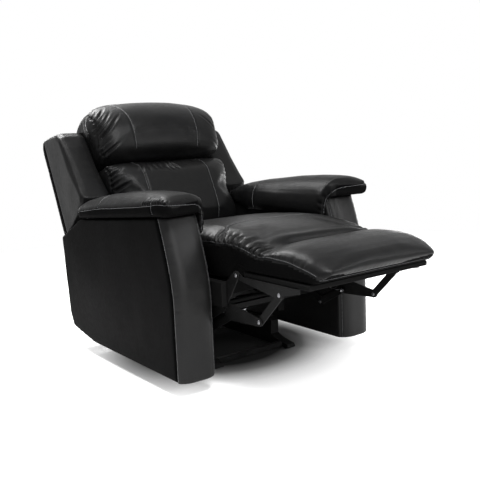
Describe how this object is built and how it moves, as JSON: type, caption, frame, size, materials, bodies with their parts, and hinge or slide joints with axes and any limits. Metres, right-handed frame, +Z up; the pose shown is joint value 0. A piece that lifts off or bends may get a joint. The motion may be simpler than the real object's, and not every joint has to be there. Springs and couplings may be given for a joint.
{
  "type": "rocking recliner armchair",
  "caption": "Black leather rocking recliner with pillow arms, winged three-panel back, domed headrest and a chaise footrest on a folding steel linkage.",
  "frame": {"origin": "on the floor under the middle of the chair's whole length and width, footrest out as pictured", "axes": "+Z up, the chair faces -Y, +X is the sitter's left"},
  "size_m": [0.984, 1.6798, 1.0707],
  "materials": {
    "leather": "semi-matte, fine grain",
    "leather_pads": "soft sheen, fine grain, creased",
    "steel": "black satin paint",
    "spring_steel": "zinc plated wire",
    "lining": "black lining cloth over timber and plywood",
    "wood": "bare sawn frame timber and plywood",
    "black_plastic": "moulded, satin"
  },
  "bodies": {
    "base": {"base_rail_left": "steel", "base_rail_right": "steel", "base_front_rail": "steel", "base_rear_rail": "steel", "base_glide_front_left": "black_plastic", "base_glide_front_right": "black_plastic", "base_glide_rear_left": "black_plastic", "base_glide_rear_right": "black_plastic", "rocker_spring_left": "spring_steel", "rocker_spring_right": "spring_steel"},
    "chassis": {"rocker_cam_left": "steel", "rocker_cam_right": "steel", "chassis_tube_front": "steel", "chassis_tube_rear": "steel", "mechanism_plate_left": "steel", "mechanism_plate_right": "steel", "seat_rail_left": "lining", "seat_rail_right": "lining", "seat_front_rail": "lining", "seat_rear_rail": "wood", "seat_spring_1": "spring_steel", "seat_spring_2": "spring_steel", "seat_spring_3": "spring_steel", "seat_cushion": "leather_pads", "arm_panel_left": "leather", "arm_panel_right": "leather", "arm_core_left": "leather", "arm_core_right": "leather", "arm_pad_left": "leather_pads", "arm_pad_right": "leather_pads", "rear_stretcher": "leather", "release_bezel": "black_plastic", "footrest_spring_left": "spring_steel", "footrest_spring_right": "spring_steel"},
    "footrest": {"footrest_board": "lining", "footrest_pad": "leather_pads", "chaise_bridge_pad": "leather_pads", "footrest_bracket_left": "steel", "footrest_bracket_right": "steel"},
    "cranks": {"ottoman_crank_left": "steel", "ottoman_crank_right": "steel"},
    "couplers": {"ottoman_coupler_left": "steel", "ottoman_coupler_right": "steel"},
    "torque_shaft": {"torque_tube": "steel"},
    "drive_links": {"drive_link_left": "steel", "drive_link_right": "steel"},
    "back": {"back_board": "lining", "back_bracket_left": "steel", "back_bracket_right": "steel", "back_wing_left": "leather", "back_wing_right": "leather", "outside_back": "leather", "lower_back_cushion": "leather_pads", "headrest_cushion": "leather_pads"},
    "release": {"release_paddle": "black_plastic"}
  },
  "joints": [
    {"name": "rock", "type": "hinge", "parent": "base", "child": "chassis", "pos_m": [0, 0.105, 0.12], "axis": [1, 0, 0], "range_deg": [-7, 4], "stiffness_Nm_per_rad": 2200, "deforming": ["rocker_spring_left", "rocker_spring_right"]},
    {"name": "footrest_fold", "type": "hinge", "parent": "chassis", "child": "footrest", "pos_m": [0, -0.445, 0.43], "axis": [1, 0, 0], "range_deg": [0, 75], "deforming": ["footrest_spring_left", "footrest_spring_right"]},
    {"name": "crank_turn", "type": "hinge", "parent": "chassis", "child": "cranks", "pos_m": [0, -0.335, 0.32], "axis": [1, 0, 0], "range_deg": [0, 75]},
    {"name": "coupler_swing", "type": "hinge", "parent": "cranks", "child": "couplers", "pos_m": [0, -0.555, 0.285], "axis": [1, 0, 0], "range_deg": [-75, 0]},
    {"name": "torque_turn", "type": "hinge", "parent": "chassis", "child": "torque_shaft", "pos_m": [0, -0.205, 0.25], "axis": [1, 0, 0], "range_deg": [0, 75]},
    {"name": "drive_swing", "type": "hinge", "parent": "torque_shaft", "child": "drive_links", "pos_m": [0, -0.26, 0.205], "axis": [1, 0, 0], "range_deg": [-75, 0]},
    {"name": "back_recline", "type": "hinge", "parent": "chassis", "child": "back", "pos_m": [0, 0.405, 0.42], "axis": [-1, 0, 0], "range_deg": [0, 30]},
    {"name": "release_pull", "type": "hinge", "parent": "chassis", "child": "release", "pos_m": [-0.2761, -0.12, 0.627], "axis": [0, -1, 0], "range_deg": [0, 30], "stiffness_Nm_per_rad": 0.4}
  ],
  "couplings": [
    {"joint": "crank_turn", "follows": "footrest_fold", "ratio": 1},
    {"joint": "coupler_swing", "follows": "footrest_fold", "ratio": -1},
    {"joint": "torque_turn", "follows": "footrest_fold", "ratio": 1},
    {"joint": "drive_swing", "follows": "footrest_fold", "ratio": -1}
  ]
}
